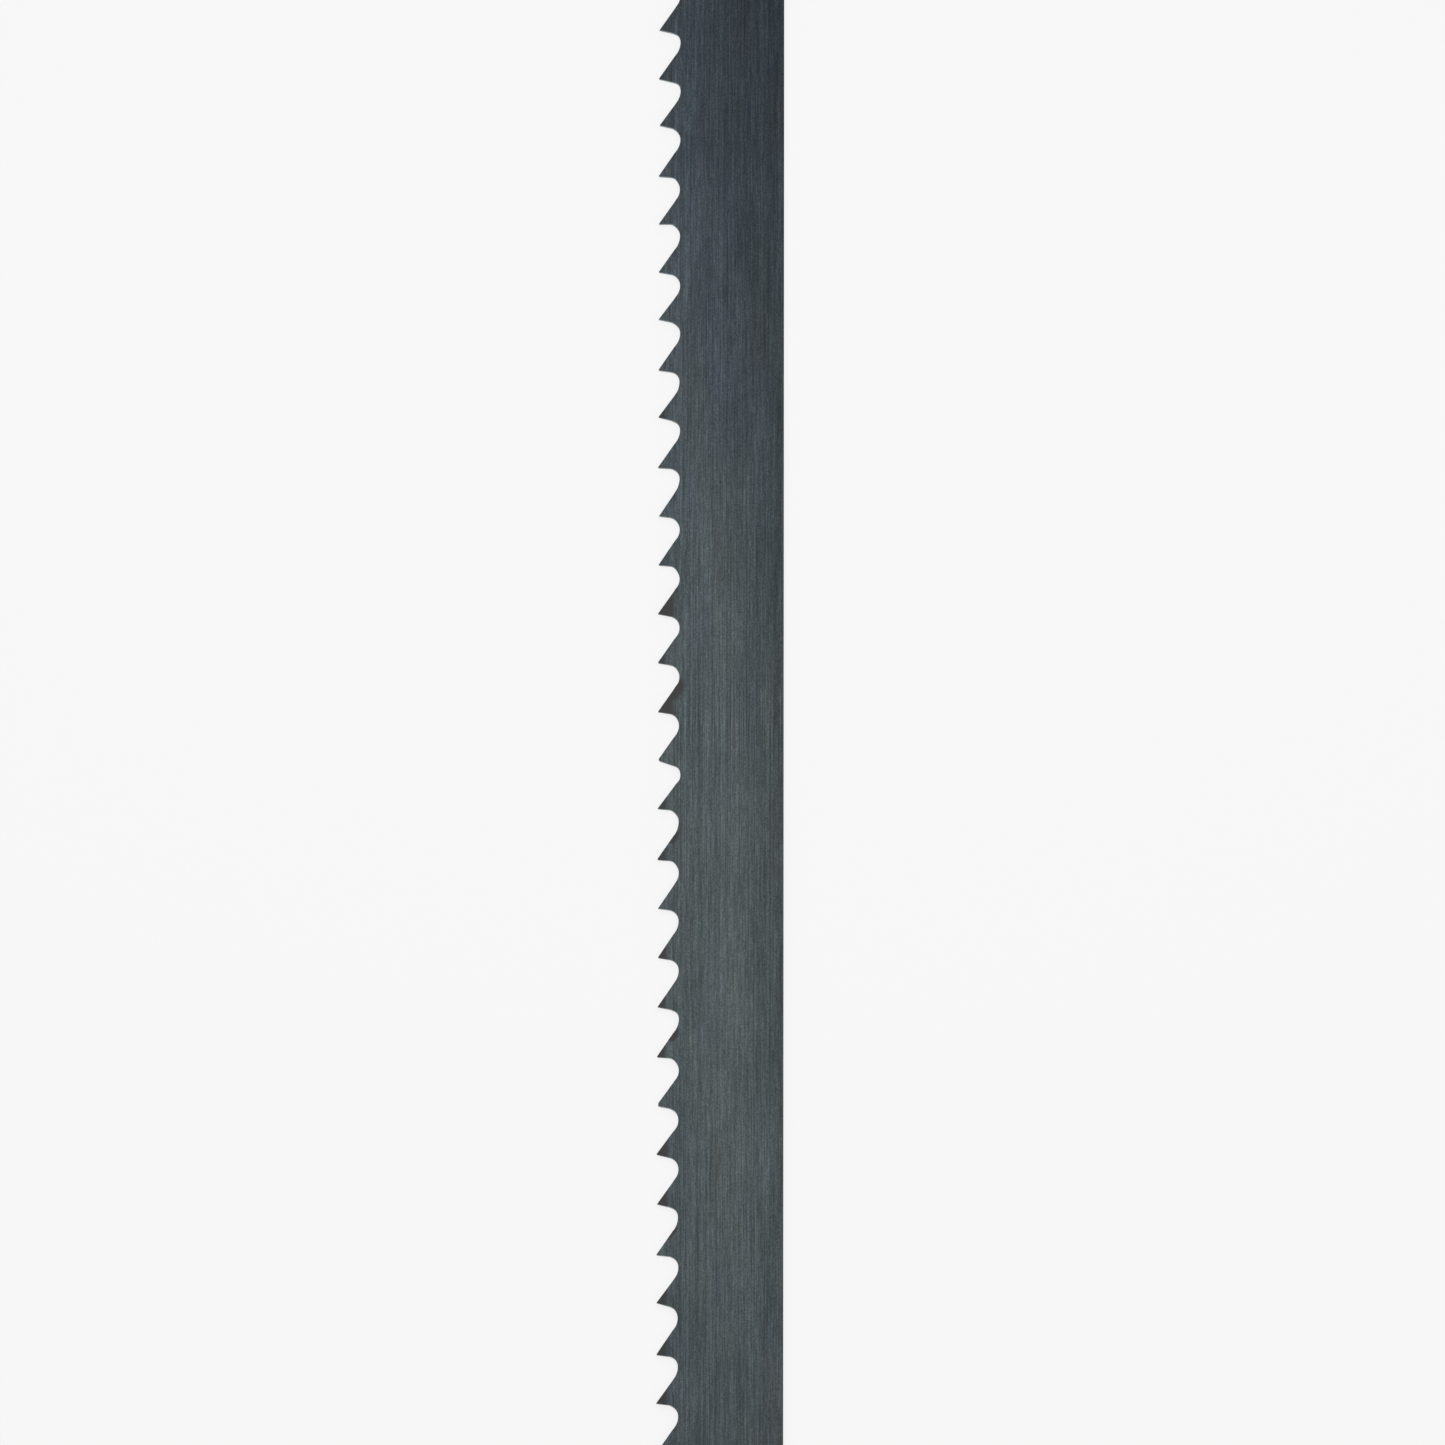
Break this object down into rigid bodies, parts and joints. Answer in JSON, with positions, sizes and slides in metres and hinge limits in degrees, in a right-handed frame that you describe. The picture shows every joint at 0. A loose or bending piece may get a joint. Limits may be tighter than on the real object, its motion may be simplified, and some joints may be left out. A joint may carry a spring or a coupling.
{
  "type": "band saw blade",
  "caption": "Straight length of a narrow band saw blade: spring-steel strip with coarse, round-gulleted teeth set to alternate sides, and a plain back edge.",
  "frame": {"origin": "under the middle of the blade's length and width, level with the lowest tooth tip", "axes": "+Y along the blade, against the way it cuts; -X towards the tooth tips and +X towards the back edge; +Z through its thickness, up"},
  "size_m": [0.0158, 0.2032, 0.0009],
  "materials": {
    "blade_steel": "dark hardened and tempered strip, ground lengthwise"
  },
  "bodies": {
    "root": {"blade": "blade_steel"}
  },
  "joints": []
}
